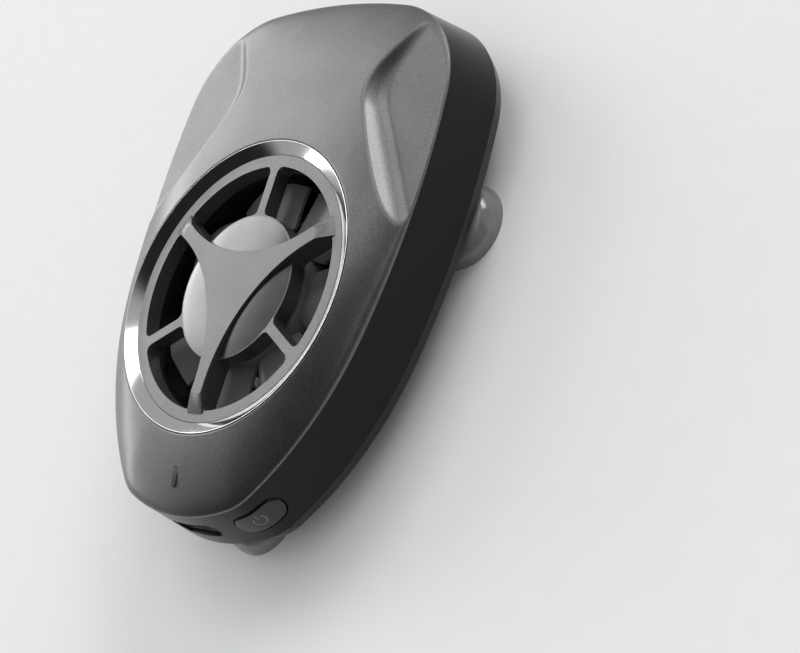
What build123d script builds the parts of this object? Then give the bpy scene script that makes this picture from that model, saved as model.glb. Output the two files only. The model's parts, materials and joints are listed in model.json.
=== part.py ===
from build123d import *
from math import atan, cos, degrees, radians, sin, sqrt
import os

os.makedirs("parts", exist_ok=True)

# Heights. The cooler lies on its three cups, with the fan facing up.
cup_height = 4.2
rear_depth = 2.4
frame_depth = 8.5
crown_depth = 3.6
rim_depth = 0.4
rear_seam = cup_height + rear_depth
front_seam = rear_seam + frame_depth
crown_top = front_seam + crown_depth
control_height = rear_seam + frame_depth / 2

# Body outline at the rear seam, measured from the fan's axis.
fan_to_top = 46.4
fan_to_foot = 34.2
half_width = 29.2
widest_above_fan = 18.0
corner_inset = 2.65
top_bow_radius = 95.0
corner_radius = 17.0
waist_below_fan = 6.0
waist_inset = 2.45
foot_half_width = 12.9
foot_rise = 2.9
foot_corner_radius = 9.0
fan_y = (fan_to_foot - fan_to_top) / 2

# Walls, drafts and general clearances.
wall = 1.6
cover_wall = 1.4
rear_wall = 1.5
frame_draft = 1.05
rear_draft = 0.95
rear_edge_radius = 0.8
fit_gap = 0.05
slide_gap = 0.1
lip_gap = 0.2
lip_depth = 1.1
lip_wall = 1.0
cut_overrun = 2.0
rear_inside = cup_height + rear_wall

# Fan opening in the front.
opening_radius = 18.5
flat_ring_width = 1.8
bezel_width = 1.85
bezel_lip = 0.15
dish_depth = 1.0
guard_depth = 2.4
collar_wall = 1.2
ledge_width = 0.9
ledge_depth = 0.6
bezel_lift = 0.3
flat_ring_radius = opening_radius + flat_ring_width
bezel_radius = flat_ring_radius + bezel_width
ring_top = crown_top - dish_depth
guard_bottom = ring_top - guard_depth
bezel_seat = guard_bottom + bezel_lift
collar_bottom = bezel_seat - ledge_depth

# Guard and star.
guard_hub_radius = 11.0
dome_rise = 0.7
dome_wall = 1.2
arm_count = 3
first_arm_angle = 30
first_spoke_angle = 90
spoke_width = 1.5
rib_width = 2.3
spoke_root_radius = 1.0
star_overlap = 0.6
star_end_run = 2.9
star_tip_half_width = 1.15
star_foot_half_width = 1.75
star_waist_radius = 5.0
star_foot_radius = opening_radius + star_overlap
star_tip_radius = star_foot_radius - star_end_run

# Shoulders cut into the crown, measured from the fan's axis.
shoulder_corner_x = 14.3
shoulder_corner_y = 31.1
shoulder_top_x = 21.2
shoulder_top_y = 45.6
shoulder_low_x = 28.2
shoulder_low_y = 9.5
shoulder_depth = 2.6
shoulder_tilt = 3
shoulder_wall_tilt = 42
shoulder_corner_radius = 3.6
crown_steps = 6
outline_points = 36

# Screws and posts, placed round the fan housing and beside the battery.
duct_wall = 1.2
boss_margin = 2.5
lower_screw_angle = -45.8
board_screw_margin = 6.3
board_screw_angle = -60
upper_screw_above_fan = 31.5
rear_boss_height = 1.2
rear_boss_radius = 2.4
boss_radius = 2.2
post_radius = 1.8
case_shank_radius = 0.8
case_shank_length = 5.8
case_head_radius = 1.6
case_head_depth = 0.9
head_recess = 0.1
small_shank_radius = 0.6
small_head_radius = 1.1
small_head_depth = 0.6
recess_length_share = 0.62
recess_width_share = 0.17
recess_depth_share = 0.6
board_shank_length = 2.6
boss_bottom = rear_inside + rear_boss_height
duct_radius = opening_radius + duct_wall

# Light slot and light.
slot_from_bezel = 5.95
slot_length = 3.0
slot_width = 0.9
lamp_height = 0.6
lamp_width = 1.6
pipe_flange = 0.7
slot_below_fan = bezel_radius + slot_from_bezel

# Power button and its switch.
button_length = 8.2
button_height = 4.2
button_proud = 0.2
button_gap = 0.2
button_rim_radius = 0.3
button_travel = 0.4
button_depth = 2.6
flange_depth = 0.6
flange_margin = 0.4
plunger_radius = 0.8
plunger_reach = 1.0
plunger_seat = 0.6
switch_width = 4.2
switch_depth = 2.6
switch_height = 3.3

# Charging inlet.
inlet_width = 8.94
inlet_height = 3.2
inlet_length = 7.3
inlet_wall = 0.3
inlet_setback = 0.5
tongue_width = 6.7
tongue_thickness = 0.7
tongue_setback = 0.8
inlet_plug_depth = 1.2

# Circuit board and its parts.
board_thickness = 1.0
board_edge_gap = 0.5
board_part_gap = 0.8
chip_width = 5.0
chip_height = 0.9
inductor_radius = 2.0
inductor_height = 1.2
capacitor_length = 1.6
capacitor_width = 0.8
capacitor_count = 2
board_bottom = control_height + inlet_height / 2
board_top = board_bottom + board_thickness
board_top_y = -duct_radius - board_edge_gap

# Battery.
battery_width = 33.0
battery_length = 17.5
battery_height = 6.0
battery_gap = 0.5
battery_side_gap = 0.8
battery_corner_radius = 2.0
pad_thickness = 0.5
pad_margin = 1.5

# Suction cups, with places measured from the fan's axis.
side_cup = (23.0, 16.7)
foot_cup = (0.0, -27.7)
cup_radius = 6.4
cup_lip_width = 0.6
cup_lip_height = 0.5
cup_dish_depth = 1.5
cup_belly_radius = 5.7
cup_belly_height = 2.6
cup_shoulder_radius = 3.6
cup_neck_radius = 1.6
cup_head_radius = 2.4
cup_head_depth = 1.2

# Rear grille.
grille_margin = 1.5
grille_pitch = 2.6
grille_rings = 3
grille_slot = 1.6
grille_ribs = 6
grille_rib_width = 1.6

# Fan housing and bearing.
base_radius = 9.0
base_thickness = 1.2
strut_width = 2.2
ear_radius = 1.8
ear_thickness = 1.0
ear_offset = 1.5
tube_radius = 2.85
tube_wall = 0.4
tube_height = 5.7
step_radius = 3.6
step_height = 2.3
fan_head_radius = 1.3
fan_head_depth = 0.7
fan_shank_depth = 0.9

# Impeller, turning above the base.
hub_radius = 10.2
hub_wall = 0.9
hub_bottom = 8.3
hub_depth = 6.3
hub_edge_radius = 1.2
blade_count = 7
blade_tip_gap = 0.7
blade_depth = 5.6
blade_root_radius = 8.0
blade_root_pitch = 36
blade_tip_pitch = 21
blade_thickness = 0.9
blade_edge = 0.5
blade_camber = 1.2
shaft_radius = 0.75
shaft_boss_radius = 2.0
shaft_boss_depth = 0.8
running_gap = 0.02
clip_radius = 1.4
clip_depth = 0.2

# Motor.
yoke_wall = 0.8
magnet_wall = 1.1
magnet_depth = 4.3
air_gap = 0.4
core_depth = 3.0
core_hub_wall = 0.9
pole_count = 6
pole_width = 1.7
pole_shoe_depth = 0.9
pole_slot = 1.2
coil_build = 0.7
coil_margin = 0.15
motor_board_radius = 8.4
motor_board_thickness = 0.8

fan_plane = Plane(origin=(0, fan_y, 0))
fan_axis = Axis((0, fan_y, 0), (0, 0, 1))
fan_section = Plane(origin=(0, fan_y, 0), x_dir=(1, 0, 0), z_dir=(0, -1, 0))


def sag(radius, run):
    """How far an arc of this radius falls away over a run from its crest."""
    return radius - sqrt(radius**2 - run**2)


def taper_of(run, depth):
    """The draft angle that moves a wall by a run over a depth."""
    return degrees(atan(run / depth))


def pair(place):
    """A place and its twin across the middle plane, from the fan's axis."""
    return [(place[0], place[1]), (-place[0], place[1])]


def around(radius, angle):
    """A place at a radius and an angle from the fan's axis."""
    return (radius * cos(radians(angle)), radius * sin(radians(angle)))


def body_outline(inset):
    """The body's closed outline, drawn in from its widest size by the inset."""
    corner_x = half_width - corner_inset
    corner_y = fan_y + fan_to_top - sag(top_bow_radius, corner_x)
    waist_y = fan_y - waist_below_fan
    foot_y = fan_y - fan_to_foot + foot_rise
    with BuildSketch() as outline:
        with BuildLine():
            ThreePointArc((corner_x, corner_y), (0, fan_y + fan_to_top), (-corner_x, corner_y))
            widest = (half_width, fan_y + widest_above_fan)
            side = ThreePointArc((corner_x, corner_y), widest, (half_width - waist_inset, waist_y))
            flank = TangentArc(side @ 1, (foot_half_width, foot_y), tangent=side % 1)
            mirror(side, about=Plane.YZ)
            mirror(flank, about=Plane.YZ)
            ThreePointArc((foot_half_width, foot_y), (0, fan_y - fan_to_foot), (-foot_half_width, foot_y))
        make_face()
        fillet(outline.vertices().sort_by(Axis.Y)[-2:], corner_radius)
        fillet(outline.vertices().sort_by(Axis.Y)[:2], foot_corner_radius)
        if inset:
            offset(amount=-inset)
    return outline.sketch


def outline_wall(low, depth, outer_inset, thickness):
    """A wall of even thickness that follows the body's outline."""
    with BuildPart() as band:
        with BuildSketch(Plane.XY.offset(low)):
            add(body_outline(outer_inset))
            add(body_outline(outer_inset + thickness), mode=Mode.SUBTRACT)
        extrude(amount=depth)
    return band.part


def posts(places, radius, low, high):
    """Round posts, or the holes for them, at places measured from the fan's axis."""
    with BuildPart() as group:
        with BuildSketch(fan_plane.offset(low)):
            with Locations(*places):
                Circle(radius)
        extrude(amount=high - low)
    return group.part


def screws(places, seat, direction, shank, length, head, depth):
    """Cross-recessed screws whose heads bear on a seat, with their shanks pointing up (1) or down (-1)."""
    with BuildPart() as group:
        with BuildSketch(fan_plane.offset(seat)):
            with Locations(*places):
                Circle(shank)
        extrude(amount=direction * length)
        with BuildSketch(fan_plane.offset(seat)):
            with Locations(*places):
                Circle(head)
        extrude(amount=-direction * depth)
        with BuildSketch(fan_plane.offset(seat - direction * depth)):
            with Locations(*places):
                Rectangle(2 * head * recess_length_share, 2 * head * recess_width_share)
                Rectangle(2 * head * recess_width_share, 2 * head * recess_length_share)
        extrude(amount=direction * depth * recess_depth_share, mode=Mode.SUBTRACT)
    return group.part


# Places from the fan's axis of the screws, the housing's ears and the battery's near edge.
ear_place = duct_radius + ear_offset
battery_above_fan = ear_place + ear_radius + battery_gap
upper_screw = (battery_width / 2 + battery_side_gap + boss_radius, upper_screw_above_fan)
lower_screw = around(duct_radius + boss_margin + boss_radius, lower_screw_angle)
board_screw = around(duct_radius + board_screw_margin, board_screw_angle)
ear_places = [around(ear_place, first_spoke_angle + 360 / arm_count * ear) for ear in range(arm_count)]

# Side band, with windows for the button and the charging inlet.
middle_edges = body_outline(frame_draft / 2).edges()
foot_place = (foot_half_width, fan_y - fan_to_foot + foot_rise)
foot_corner = middle_edges.sort_by_distance(foot_place)[0]
corner_point = (foot_corner @ 0.5) + Vector(0, 0, control_height)
corner_run = foot_corner % 0.5
corner_side = corner_run if corner_run.X * corner_run.Y > 0 and corner_run.X > 0 else -corner_run
corner_out = Vector(corner_side.Y, -corner_side.X)
button_plane = Plane(origin=corner_point, x_dir=corner_side, z_dir=corner_out)
inlet_mouth = fan_y - fan_to_foot + frame_draft / 2 + inlet_setback
inlet_plane = Plane(origin=(0, inlet_mouth, control_height), x_dir=(1, 0, 0), z_dir=(0, -1, 0))
flange_length = button_length + 2 * flange_margin
flange_height = button_height + 2 * flange_margin
flange_front = button_depth - flange_depth
pocket_floor = flange_front - button_gap
with BuildPart() as mid_frame:
    with BuildSketch(Plane.XY.offset(rear_seam)):
        add(body_outline(0))
    extrude(amount=frame_depth, taper=taper_of(frame_draft, frame_depth))
    with BuildSketch(Plane.XY.offset(rear_seam)):
        add(body_outline(wall))
    extrude(amount=frame_depth, taper=taper_of(frame_draft, frame_depth), mode=Mode.SUBTRACT)
    with BuildSketch(button_plane):
        SlotOverall(button_length + 2 * button_gap, button_height + 2 * button_gap)
    extrude(amount=button_depth, both=True, mode=Mode.SUBTRACT)
    with BuildSketch(button_plane.offset(-pocket_floor)):
        SlotOverall(flange_length + 2 * button_gap, flange_height + 2 * button_gap)
    extrude(amount=-cut_overrun, mode=Mode.SUBTRACT)
    with BuildSketch(inlet_plane):
        SlotOverall(inlet_width + 2 * lip_gap, inlet_height + 2 * lip_gap)
    extrude(amount=cut_overrun, both=True, mode=Mode.SUBTRACT)
mid_frame.part.label = "mid_frame"
export_step(mid_frame.part, "parts/mid_frame.step")

# Power button. Its face follows the band and stands a little proud of it.
with BuildPart() as power_button:
    with BuildSketch(Plane.XY.offset(rear_seam)):
        add(body_outline(-button_proud))
    extrude(amount=frame_depth, taper=taper_of(frame_draft, frame_depth))
    with BuildSketch(button_plane):
        SlotOverall(button_length, button_height)
    extrude(amount=flange_front, both=True, mode=Mode.INTERSECT)
    fillet(power_button.faces().sort_by(Axis(corner_point, corner_out))[-1].edges(), button_rim_radius)
    with BuildSketch(button_plane.offset(-flange_front)):
        SlotOverall(flange_length, flange_height)
    extrude(amount=-flange_depth)
power_button.part.label = "power_button"
export_step(power_button.part, "parts/power_button.step")

# Plunger between the button and its switch, and the switch under the board.
switch_front = button_depth + plunger_reach
with BuildPart() as switch_plunger:
    with BuildSketch(button_plane.offset(-button_depth)):
        Circle(plunger_radius)
    extrude(amount=-plunger_reach - plunger_seat)
switch_plunger.part.label = "switch_plunger"
export_step(switch_plunger.part, "parts/switch_plunger.step")

switch_middle = board_bottom - switch_height / 2 - control_height
with BuildPart() as switch_body:
    with BuildSketch(button_plane.offset(-switch_front)):
        with Locations((0, switch_middle)):
            Rectangle(switch_width, switch_height)
    extrude(amount=-switch_depth)
    with BuildSketch(button_plane.offset(-switch_front)):
        Circle(plunger_radius + slide_gap)
    extrude(amount=-plunger_seat - button_travel - slide_gap, mode=Mode.SUBTRACT)
switch_body.part.label = "switch_body"
export_step(switch_body.part, "parts/switch_body.step")


def crown_level(spread_share):
    """How far the crown has fallen, as a share of its depth, at a share of the way to its edge."""
    return (spread_share + 1 - sqrt(1 - spread_share**2)) / 2


def crown_section(edge_points, spread_share):
    """A closed curve at a share of the way from the round opening to the body's edge."""
    places = []
    for point in edge_points:
        arm = Vector(point.X, point.Y - fan_y)
        reach = bezel_radius + (arm.length - bezel_radius) * spread_share
        places.append((arm.X * reach / arm.length, fan_y + arm.Y * reach / arm.length))
    with BuildSketch() as section:
        with BuildLine():
            Spline(*places, periodic=True)
        make_face()
    return section.sketch


def shoulder_cutter(inset, drop):
    """The right shoulder's cutter: a tapered block that widens upwards from a tilted floor."""
    floor = Plane(
        origin=(shoulder_corner_x - inset, fan_y + shoulder_corner_y, crown_top - shoulder_depth - drop),
        x_dir=(1, 0, 0),
    ).rotated((0, shoulder_tilt, 0))
    corner = (0, 0)
    top = (shoulder_top_x - shoulder_corner_x, shoulder_top_y - shoulder_corner_y)
    low = (shoulder_low_x - shoulder_corner_x, shoulder_low_y - shoulder_corner_y)
    with BuildPart() as cutter:
        with BuildSketch(floor) as plan:
            with BuildLine():
                Polyline(top, corner, low, (half_width, low[1]), (half_width, top[1]), close=True)
            make_face()
            fillet(plan.vertices().sort_by_distance(corner)[0], shoulder_corner_radius)
        extrude(amount=crown_depth, taper=-shoulder_wall_tilt)
    return cutter.part


def crown_form(inset, drop, steps):
    """The crown's outer form, or its inner form where it is drawn in and lowered."""
    edge = body_outline(frame_draft + inset - rim_depth).wire()
    points = [edge @ (index / outline_points) for index in range(outline_points)]
    with BuildPart() as crown:
        for step in range(steps + 1):
            spread_share = sin(radians(90 * (1 - step / steps)))
            fall = (crown_depth - rim_depth) * crown_level(spread_share)
            with BuildSketch(Plane.XY.offset(crown_top - drop - fall)):
                add(crown_section(points, spread_share))
        loft(ruled=steps == 1)
        with BuildSketch(Plane.XY.offset(crown_top - drop - crown_depth + rim_depth)):
            add(crown_section(points, 1))
        extrude(amount=-crown_depth)
        with BuildSketch(Plane.XY.offset(front_seam - drop)):
            add(body_outline(frame_draft + inset))
        extrude(amount=crown_depth + drop, mode=Mode.INTERSECT)
        cutter = shoulder_cutter(inset - wall if inset else 0, drop)
        add(cutter, mode=Mode.SUBTRACT)
        add(cutter.mirror(Plane.YZ), mode=Mode.SUBTRACT)
    return crown.part


# Front cover: a crowned shell with a collar for the bezel, screw bosses and board posts.
crown_outer = crown_form(0, 0, crown_steps)
inner_inset = wall + lip_gap + lip_wall
boss_roof = front_seam + rim_depth / 2
post_roof = crown_top - 2 * cover_wall
seat_radius = bezel_radius + fit_gap
with BuildPart() as cover_fittings:
    add(posts([(0, 0)], seat_radius + collar_wall, collar_bottom, crown_top - cover_wall))
    add(outline_wall(front_seam - lip_depth, lip_depth, frame_draft + wall + lip_gap, lip_wall))
    add(posts(pair(upper_screw), boss_radius, boss_bottom, boss_roof))
    add(posts(pair(lower_screw), boss_radius, boss_bottom, post_roof))
    add(posts(pair(board_screw), post_radius, board_top, post_roof))
with BuildPart() as cover_cuts:
    add(posts([(0, 0)], seat_radius, bezel_seat, crown_top + cut_overrun))
    add(posts([(0, 0)], bezel_radius - ledge_width, collar_bottom, bezel_seat))
    screw_places = pair(upper_screw) + pair(lower_screw)
    pilot_top = boss_bottom + case_shank_length - rear_boss_height
    add(posts(screw_places, case_shank_radius + running_gap, boss_bottom, pilot_top))
    small_pilot_top = board_top + board_shank_length - board_thickness + fit_gap
    add(posts(pair(board_screw), small_shank_radius + running_gap, board_top, small_pilot_top))
    with BuildSketch(Plane(origin=(0, fan_y - slot_below_fan, front_seam))):
        SlotOverall(slot_length, slot_width, rotation=90)
    extrude(amount=crown_depth + cut_overrun)
with BuildPart() as front_cover:
    add(crown_outer)
    add(crown_form(inner_inset, cover_wall, 1), mode=Mode.SUBTRACT)
    add(cover_fittings.part)
    add(cover_cuts.part, mode=Mode.SUBTRACT)
front_cover.part.label = "front_cover"
export_step(front_cover.part, "parts/front_cover.step")

# Light pipe in the slot. Its top follows the crown.
pipe_foot = board_top + lamp_height + lip_gap
pipe_plane = Plane(origin=(0, fan_y - slot_below_fan, pipe_foot))
with BuildPart() as light_pipe:
    add(crown_outer.moved(Location((0, 0, -fit_gap))))
    with BuildSketch(pipe_plane):
        SlotOverall(slot_length - 2 * fit_gap, slot_width - 2 * fit_gap, rotation=90)
    extrude(amount=crown_top - pipe_foot, mode=Mode.INTERSECT)
    with BuildSketch(pipe_plane):
        SlotOverall(slot_length - 2 * fit_gap, slot_width - 2 * fit_gap, rotation=90)
    extrude(amount=front_seam + rim_depth - pipe_foot)
    with BuildSketch(pipe_plane):
        SlotOverall(slot_length + slot_width, 2 * slot_width, rotation=90)
    extrude(amount=pipe_flange)
light_pipe.part.label = "light_pipe"
export_step(light_pipe.part, "parts/light_pipe.step")

# Polished bezel: a ring whose inner half slopes down to the guard.
with BuildPart() as bezel_ring:
    with BuildSketch(fan_section):
        with BuildLine():
            Polyline(
                (flat_ring_radius, bezel_seat),
                (bezel_radius, bezel_seat),
                (bezel_radius, crown_top),
                (bezel_radius - bezel_lip, crown_top),
                (flat_ring_radius, ring_top),
                close=True,
            )
        make_face()
    revolve(axis=fan_axis)
bezel_ring.part.label = "bezel_ring"
export_step(bezel_ring.part, "parts/bezel_ring.step")


def star_plan(growth):
    """The three-armed star seen from above, with hollow sides between its tips."""
    tip_half = star_tip_half_width + growth
    foot_half = star_foot_half_width + growth
    turn = 360 / arm_count
    with BuildSketch() as star:
        with BuildLine():
            for arm in range(arm_count):
                angle = first_arm_angle + turn * arm
                shoulder = Vector(star_tip_radius, tip_half).rotate(Axis.Z, angle)
                waist = Vector(star_waist_radius + growth, 0).rotate(Axis.Z, angle + turn / 2)
                next_shoulder = Vector(star_tip_radius, -tip_half).rotate(Axis.Z, angle + turn)
                next_foot = Vector(star_foot_radius, -foot_half).rotate(Axis.Z, angle + turn)
                far_foot = Vector(star_foot_radius, foot_half).rotate(Axis.Z, angle + turn)
                far_shoulder = Vector(star_tip_radius, tip_half).rotate(Axis.Z, angle + turn)
                ThreePointArc(shoulder, waist, next_shoulder)
                Polyline(next_shoulder, next_foot, far_foot, far_shoulder)
        make_face()
    return star.sketch


# Fan guard: flat ring, ribs and domed hub, with a seat for the star.
dome_radius = (guard_hub_radius**2 + dome_rise**2) / (2 * dome_rise)
dome_middle = ring_top + dome_rise - sag(dome_radius, guard_hub_radius / 2)
guard_radius = flat_ring_radius - fit_gap
with BuildPart() as fan_guard:
    with BuildSketch(fan_plane.offset(guard_bottom)) as guard_plan:
        Circle(guard_radius)
        Circle(opening_radius, mode=Mode.SUBTRACT)
        Circle(guard_hub_radius)
        rib_middle = (opening_radius + guard_hub_radius) / 2
        rib_run = opening_radius - guard_hub_radius + 2 * spoke_root_radius
        with PolarLocations(rib_middle, arm_count, start_angle=first_spoke_angle):
            Rectangle(rib_run, spoke_width)
        with PolarLocations(rib_middle, arm_count, start_angle=first_arm_angle):
            Rectangle(rib_run, rib_width)
        roots = [v for v in guard_plan.vertices() if Vector(v.X, v.Y).length < opening_radius + fit_gap]
        fillet(roots, spoke_root_radius)
    extrude(amount=guard_depth)
    with BuildSketch(fan_plane.offset(guard_bottom)):
        Circle(guard_hub_radius - dome_wall)
    extrude(amount=guard_depth - dome_wall, mode=Mode.SUBTRACT)
    with BuildSketch(fan_section):
        with BuildLine():
            crest = (0, ring_top + dome_rise)
            ThreePointArc(crest, (guard_hub_radius / 2, dome_middle), (guard_hub_radius, ring_top))
            Polyline((guard_hub_radius, ring_top), (0, ring_top), crest)
        make_face()
    revolve(axis=fan_axis)
    with BuildSketch(fan_plane.offset(ring_top)):
        add(star_plan(fit_gap))
    extrude(amount=dish_depth, mode=Mode.SUBTRACT)
fan_guard.part.label = "fan_guard"
export_step(fan_guard.part, "parts/fan_guard.step")

# Star on the guard. Its ends slope down to the flat ring.
with BuildPart() as guard_star:
    with BuildSketch(fan_plane.offset(ring_top)):
        add(star_plan(0))
    extrude(amount=dish_depth)
    with BuildSketch(fan_section):
        with BuildLine():
            Polyline(
                (star_tip_radius, crown_top),
                (star_foot_radius, ring_top),
                (star_foot_radius + cut_overrun, ring_top),
                (star_foot_radius + cut_overrun, crown_top),
                close=True,
            )
        make_face()
    revolve(axis=fan_axis, mode=Mode.SUBTRACT)
guard_star.part.label = "guard_star"
export_step(guard_star.part, "parts/guard_star.step")

# Rear cover: floor, rim, locating tongue, grille, bosses and the holes for cups and screws.
cup_places = pair(side_cup) + [foot_cup]
with BuildPart() as rear_cover:
    with BuildSketch(Plane.XY.offset(rear_seam)):
        add(body_outline(0))
    extrude(amount=-rear_depth, taper=taper_of(rear_draft, rear_depth))
    fillet(rear_cover.faces().sort_by(Axis.Z)[0].edges(), rear_edge_radius)
    with BuildSketch(Plane.XY.offset(rear_inside)):
        add(body_outline(inner_inset))
    extrude(amount=rear_depth, mode=Mode.SUBTRACT)
    add(outline_wall(rear_inside, rear_depth - rear_wall + lip_depth, wall + lip_gap, lip_wall))
    add(posts(screw_places, rear_boss_radius, rear_inside - fit_gap, boss_bottom))
    with BuildSketch(fan_plane.offset(cup_height)):
        for ring in range(grille_rings):
            middle_radius = opening_radius - grille_margin - grille_slot / 2 - ring * grille_pitch
            Circle(middle_radius + grille_slot / 2)
            Circle(middle_radius - grille_slot / 2, mode=Mode.SUBTRACT)
        with PolarLocations(opening_radius / 2, grille_ribs, start_angle=first_arm_angle):
            Rectangle(opening_radius, grille_rib_width, mode=Mode.SUBTRACT)
    extrude(amount=rear_wall, mode=Mode.SUBTRACT)
    add(posts(cup_places, cup_neck_radius + slide_gap, cup_height, rear_inside), mode=Mode.SUBTRACT)
    add(posts(screw_places, case_shank_radius + slide_gap, cup_height, boss_bottom), mode=Mode.SUBTRACT)
    head_seat = cup_height + head_recess + case_head_depth
    add(posts(screw_places, case_head_radius + slide_gap, cup_height, head_seat), mode=Mode.SUBTRACT)
    blind_floor = rear_inside - fan_shank_depth - slide_gap
    add(posts(ear_places, small_shank_radius + running_gap, blind_floor, rear_inside), mode=Mode.SUBTRACT)
rear_cover.part.label = "rear_cover"
export_step(rear_cover.part, "parts/rear_cover.step")

# Case screws, from behind.
with BuildPart() as case_screws:
    add(screws(screw_places, head_seat, 1, case_shank_radius, case_shank_length,
               case_head_radius, case_head_depth))
case_screws.part.label = "case_screws"
export_step(case_screws.part, "parts/case_screws.step")

# Suction cups: a dished bun with a neck and a button head that holds it in the cover.
for name, place in (("cup_right", cup_places[0]), ("cup_left", cup_places[1]), ("cup_foot", foot_cup)):
    cup_section = Plane(origin=(place[0], fan_y + place[1], 0), x_dir=(1, 0, 0), z_dir=(0, -1, 0))
    dish_radius = cup_radius - cup_lip_width
    dish_curve = (dish_radius**2 + cup_dish_depth**2) / (2 * cup_dish_depth)
    dish_middle = cup_dish_depth - sag(dish_curve, dish_radius / 2)
    with BuildPart() as suction_cup:
        with BuildSketch(cup_section):
            with BuildLine():
                ThreePointArc((0, cup_dish_depth), (dish_radius / 2, dish_middle), (dish_radius, 0))
                Polyline((dish_radius, 0), (cup_radius, 0), (cup_radius, cup_lip_height))
                belly = (cup_belly_radius, cup_belly_height)
                ThreePointArc((cup_radius, cup_lip_height), belly, (cup_shoulder_radius, cup_height))
                Polyline(
                    (cup_shoulder_radius, cup_height),
                    (cup_neck_radius, cup_height),
                    (cup_neck_radius, rear_inside),
                    (cup_head_radius, rear_inside),
                    (cup_head_radius, rear_inside + cup_head_depth),
                    (0, rear_inside + cup_head_depth),
                    (0, cup_dish_depth),
                )
            make_face()
        revolve(axis=Axis(cup_section.origin, (0, 0, 1)))
    suction_cup.part.label = name
    export_step(suction_cup.part, f"parts/{name}.step")

# Fan housing: duct, motor base on struts, bearing tube and screw ears.
base_top = rear_inside + base_thickness
core_seat = base_top + step_height
with BuildPart() as fan_duct:
    with BuildSketch(fan_plane.offset(rear_inside)):
        with PolarLocations(opening_radius / 2, arm_count, start_angle=first_arm_angle):
            Rectangle(opening_radius + duct_wall / 2, strut_width)
        Circle(base_radius)
    extrude(amount=base_thickness)
    with BuildSketch(fan_plane.offset(rear_inside)):
        with Locations(*ear_places):
            Circle(ear_radius)
        Circle(duct_radius)
        Circle(opening_radius, mode=Mode.SUBTRACT)
        with Locations(*ear_places):
            Circle(small_shank_radius + slide_gap, mode=Mode.SUBTRACT)
    extrude(amount=ear_thickness)
    with BuildSketch(fan_plane.offset(rear_inside)):
        Circle(duct_radius)
        Circle(opening_radius, mode=Mode.SUBTRACT)
    extrude(amount=guard_bottom - rear_inside)
    with BuildSketch(fan_plane.offset(base_top)):
        Circle(step_radius)
        Circle(tube_radius - tube_wall, mode=Mode.SUBTRACT)
    extrude(amount=step_height)
    with BuildSketch(fan_plane.offset(base_top)):
        Circle(tube_radius)
        Circle(tube_radius - tube_wall, mode=Mode.SUBTRACT)
    extrude(amount=tube_height)
fan_duct.part.label = "fan_duct"
export_step(fan_duct.part, "parts/fan_duct.step")

# Screws through the ears into the rear cover.
ear_top = rear_inside + ear_thickness
with BuildPart() as fan_screws:
    fan_shank_length = ear_thickness + fan_shank_depth
    add(screws(ear_places, ear_top, -1, small_shank_radius, fan_shank_length,
               fan_head_radius, fan_head_depth))
fan_screws.part.label = "fan_screws"
export_step(fan_screws.part, "parts/fan_screws.step")


def blade_section(radius, pitch):
    """A blade's curved section, square to the radius and turned to its pitch."""
    chord = blade_depth / sin(radians(pitch))
    middle = hub_bottom + hub_depth / 2
    plane = Plane(origin=(radius, fan_y, middle), x_dir=(0, 1, 0), z_dir=(1, 0, 0))
    with BuildSketch(plane.rotated((0, 0, pitch))) as section:
        with BuildLine():
            ThreePointArc((-chord / 2, 0), (0, blade_camber), (chord / 2, 0))
            Line((chord / 2, 0), (chord / 2, blade_edge))
            crest = (0, blade_camber + blade_thickness)
            ThreePointArc((chord / 2, blade_edge), crest, (-chord / 2, blade_edge))
            Line((-chord / 2, blade_edge), (-chord / 2, 0))
        make_face()
    return section.sketch


# Impeller: a hub cup with swept blades.
hub_top = hub_bottom + hub_depth
hub_roof = hub_top - hub_wall
tip_radius = opening_radius - blade_tip_gap
with BuildPart() as blade:
    add(blade_section(blade_root_radius, blade_root_pitch))
    add(blade_section((blade_root_radius + opening_radius) / 2, (blade_root_pitch + blade_tip_pitch) / 2))
    add(blade_section(opening_radius, blade_tip_pitch))
    loft()
    with BuildSketch(fan_plane):
        Circle(tip_radius)
    extrude(amount=crown_top, mode=Mode.INTERSECT)
with BuildPart() as impeller:
    with BuildSketch(fan_plane.offset(hub_bottom)):
        Circle(hub_radius)
    extrude(amount=hub_depth)
    fillet(impeller.faces().sort_by(Axis.Z)[-1].edges(), hub_edge_radius)
    for index in range(blade_count):
        add(blade.part.rotate(fan_axis, 360 / blade_count * index))
    with BuildSketch(fan_plane.offset(hub_bottom)):
        Circle(hub_radius - hub_wall)
    extrude(amount=hub_depth - hub_wall, mode=Mode.SUBTRACT)
    with BuildSketch(fan_plane.offset(hub_roof - shaft_boss_depth)):
        Circle(shaft_boss_radius)
    extrude(amount=shaft_boss_depth)
    with BuildSketch(fan_plane.offset(hub_roof - shaft_boss_depth)):
        Circle(shaft_radius + running_gap)
    extrude(amount=shaft_boss_depth, mode=Mode.SUBTRACT)
impeller.part.label = "impeller"
export_step(impeller.part, "parts/impeller.step")

# Rotor yoke and magnet, inside the hub.
yoke_radius = hub_radius - hub_wall - fit_gap
magnet_radius = yoke_radius - yoke_wall - fit_gap
with BuildPart() as rotor_yoke:
    with BuildSketch(fan_plane.offset(hub_bottom)):
        Circle(yoke_radius)
        Circle(yoke_radius - yoke_wall, mode=Mode.SUBTRACT)
    extrude(amount=hub_depth - hub_wall)
rotor_yoke.part.label = "rotor_yoke"
export_step(rotor_yoke.part, "parts/rotor_yoke.step")

core_middle = core_seat + core_depth / 2
with BuildPart() as rotor_magnet:
    with BuildSketch(fan_plane.offset(core_middle)):
        Circle(magnet_radius)
        Circle(magnet_radius - magnet_wall, mode=Mode.SUBTRACT)
    extrude(amount=magnet_depth / 2, both=True)
rotor_magnet.part.label = "rotor_magnet"
export_step(rotor_magnet.part, "parts/rotor_magnet.step")

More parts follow.
